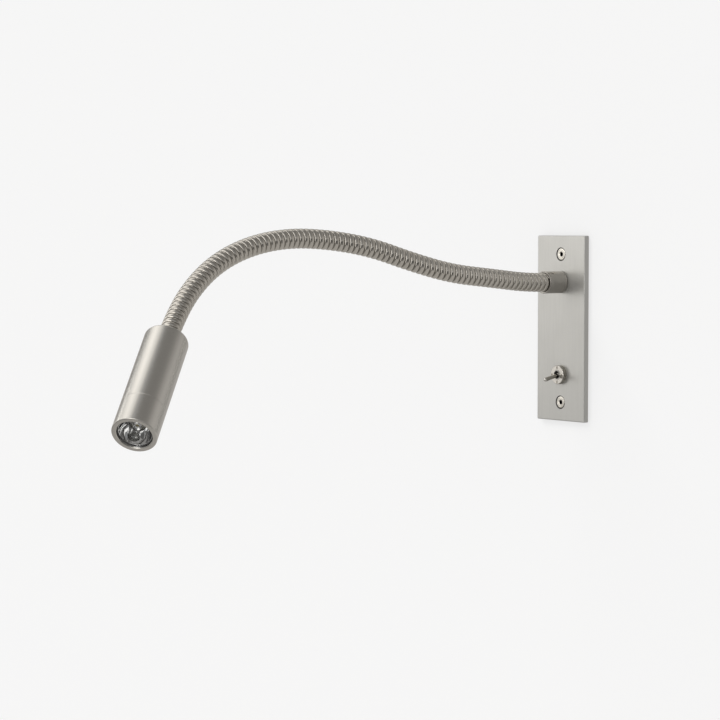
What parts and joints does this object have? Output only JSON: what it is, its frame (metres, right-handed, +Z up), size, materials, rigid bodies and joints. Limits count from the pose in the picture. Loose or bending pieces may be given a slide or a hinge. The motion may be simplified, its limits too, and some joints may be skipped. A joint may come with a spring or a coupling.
{
  "type": "gooseneck wall sconce",
  "caption": "Recessed reading light: a flat wall plate with a toggle switch, a bendable wound metal arm and a slim cylindrical spot head.",
  "frame": {"origin": "centre of the wall plate's back face, which lies on the wall plane", "axes": "+Y into the wall, so the arm leaves towards -Y; +Z up; +X to the right of someone who faces the plate"},
  "size_m": [0.0824, 0.4064, 0.1247],
  "materials": {
    "satin_nickel": "fine brushed satin nickel plate",
    "collar_nickel": "turned satin nickel",
    "neck_steel": "wound steel, nickel plated",
    "bright_chrome": "bright chrome plate",
    "screw_steel": "bright stainless",
    "zinc_steel": "zinc plated sheet",
    "plain_brass": "turned brass",
    "black_rubber": "matt",
    "switch_plastic": "moulded",
    "driver_plastic": "moulded white",
    "terminal_plastic": "moulded natural",
    "wire_jacket": "soft cable jacket",
    "plain_aluminium": "turned aluminium",
    "pad_grey": "soft silicone",
    "board_white": "white solder mask",
    "led_yellow": "phosphor under clear silicone",
    "optic_clear": "clear polished optic",
    "holder_black": "moulded black"
  },
  "bodies": {
    "root": {"wall_box": "zinc_steel", "entry_grommet": "black_rubber", "wall_plate": "satin_nickel", "plate_screws": "screw_steel", "base_collar": "collar_nickel", "neck_nipple": "plain_brass", "nipple_washer": "zinc_steel", "nipple_nut": "plain_brass", "switch_bushing": "bright_chrome", "switch_ring_nut": "bright_chrome", "switch_lock_washer": "bright_chrome", "switch_back_nut": "bright_chrome", "switch_body": "switch_plastic", "switch_lugs": "plain_brass", "led_driver": "driver_plastic", "driver_screws": "screw_steel", "terminal_block": "terminal_plastic", "terminal_screws": "plain_brass", "earth_screw": "screw_steel", "earth_tag": "plain_brass", "supply_wires": "wire_jacket", "switch_wires": "wire_jacket", "neck_lead": "wire_jacket", "neck_span_1": "neck_steel"},
    "switch_lever": {"switch_lever": "bright_chrome"},
    "neck_2": {"neck_span_2": "neck_steel"},
    "neck_3": {"neck_span_3": "neck_steel"},
    "neck_4": {"neck_span_4": "neck_steel"},
    "neck_5": {"neck_span_5": "neck_steel"},
    "neck_6": {"neck_span_6": "neck_steel"},
    "neck_7": {"neck_span_7": "neck_steel"},
    "neck_8": {"neck_span_8": "neck_steel"},
    "neck_9": {"neck_span_9": "neck_steel"},
    "neck_10": {"neck_span_10": "neck_steel"},
    "head": {"neck_span_11": "neck_steel", "tip_nipple": "plain_brass", "tip_nut": "plain_brass", "head_body": "satin_nickel", "head_bezel": "satin_nickel", "heat_sink": "plain_aluminium", "thermal_pad": "pad_grey", "led_board": "board_white", "led_emitter": "led_yellow", "board_screws": "screw_steel", "lens": "optic_clear", "lens_holder": "holder_black", "lens_gasket": "black_rubber", "lead_plug": "terminal_plastic", "led_wires": "wire_jacket"}
  },
  "joints": [
    {"name": "switch_throw", "type": "hinge", "parent": "root", "child": "switch_lever", "pos_m": [0, -0.0054, -0.03], "axis": [-1, 0, 0], "range_deg": [0, 27]},
    {"name": "neck_nod_1", "type": "hinge", "parent": "root", "child": "neck_2", "pos_m": [-0.00101, -0.04788, 0.03164], "axis": [-0.9976, 0.0698, 0], "range_deg": [-20, 20], "deforming": ["neck_lead"]},
    {"name": "neck_swing_2", "type": "hinge", "parent": "neck_2", "child": "neck_3", "pos_m": [-0.00401, -0.0765, 0.0348], "axis": [0.0145, 0.1035, 0.9945], "range_deg": [-20, 20]},
    {"name": "neck_nod_3", "type": "hinge", "parent": "neck_3", "child": "neck_4", "pos_m": [-0.00894, -0.10451, 0.04007], "axis": [-0.9781, 0.2079, 0], "range_deg": [-20, 20]},
    {"name": "neck_swing_4", "type": "hinge", "parent": "neck_4", "child": "neck_5", "pos_m": [-0.01505, -0.13155, 0.04841], "axis": [0.0741, 0.3085, 0.9483], "range_deg": [-20, 20]},
    {"name": "neck_nod_5", "type": "hinge", "parent": "neck_5", "child": "neck_6", "pos_m": [-0.02088, -0.15901, 0.05542], "axis": [-0.9833, 0.1822, 0], "range_deg": [-20, 20]},
    {"name": "neck_swing_6", "type": "hinge", "parent": "neck_6", "child": "neck_7", "pos_m": [-0.02462, -0.18753, 0.05844], "axis": [0.0034, 0.0435, 0.999], "range_deg": [-20, 20]},
    {"name": "neck_nod_7", "type": "hinge", "parent": "neck_7", "child": "neck_8", "pos_m": [-0.02589, -0.21637, 0.0568], "axis": [-1, 0.0087, 0], "range_deg": [-20, 20]},
    {"name": "neck_swing_8", "type": "hinge", "parent": "neck_8", "child": "neck_9", "pos_m": [-0.02447, -0.24423, 0.04931], "axis": [0.0406, -0.3561, 0.9336], "range_deg": [-20, 20]},
    {"name": "neck_nod_9", "type": "hinge", "parent": "neck_9", "child": "neck_10", "pos_m": [-0.01936, -0.26942, 0.03616], "axis": [-0.9563, -0.2924, 0], "range_deg": [-20, 20]},
    {"name": "neck_swing_10", "type": "hinge", "parent": "neck_10", "child": "head", "pos_m": [-0.00994, -0.29084, 0.01919], "axis": [0.3206, -0.5336, 0.7826], "range_deg": [-20, 20]}
  ]
}
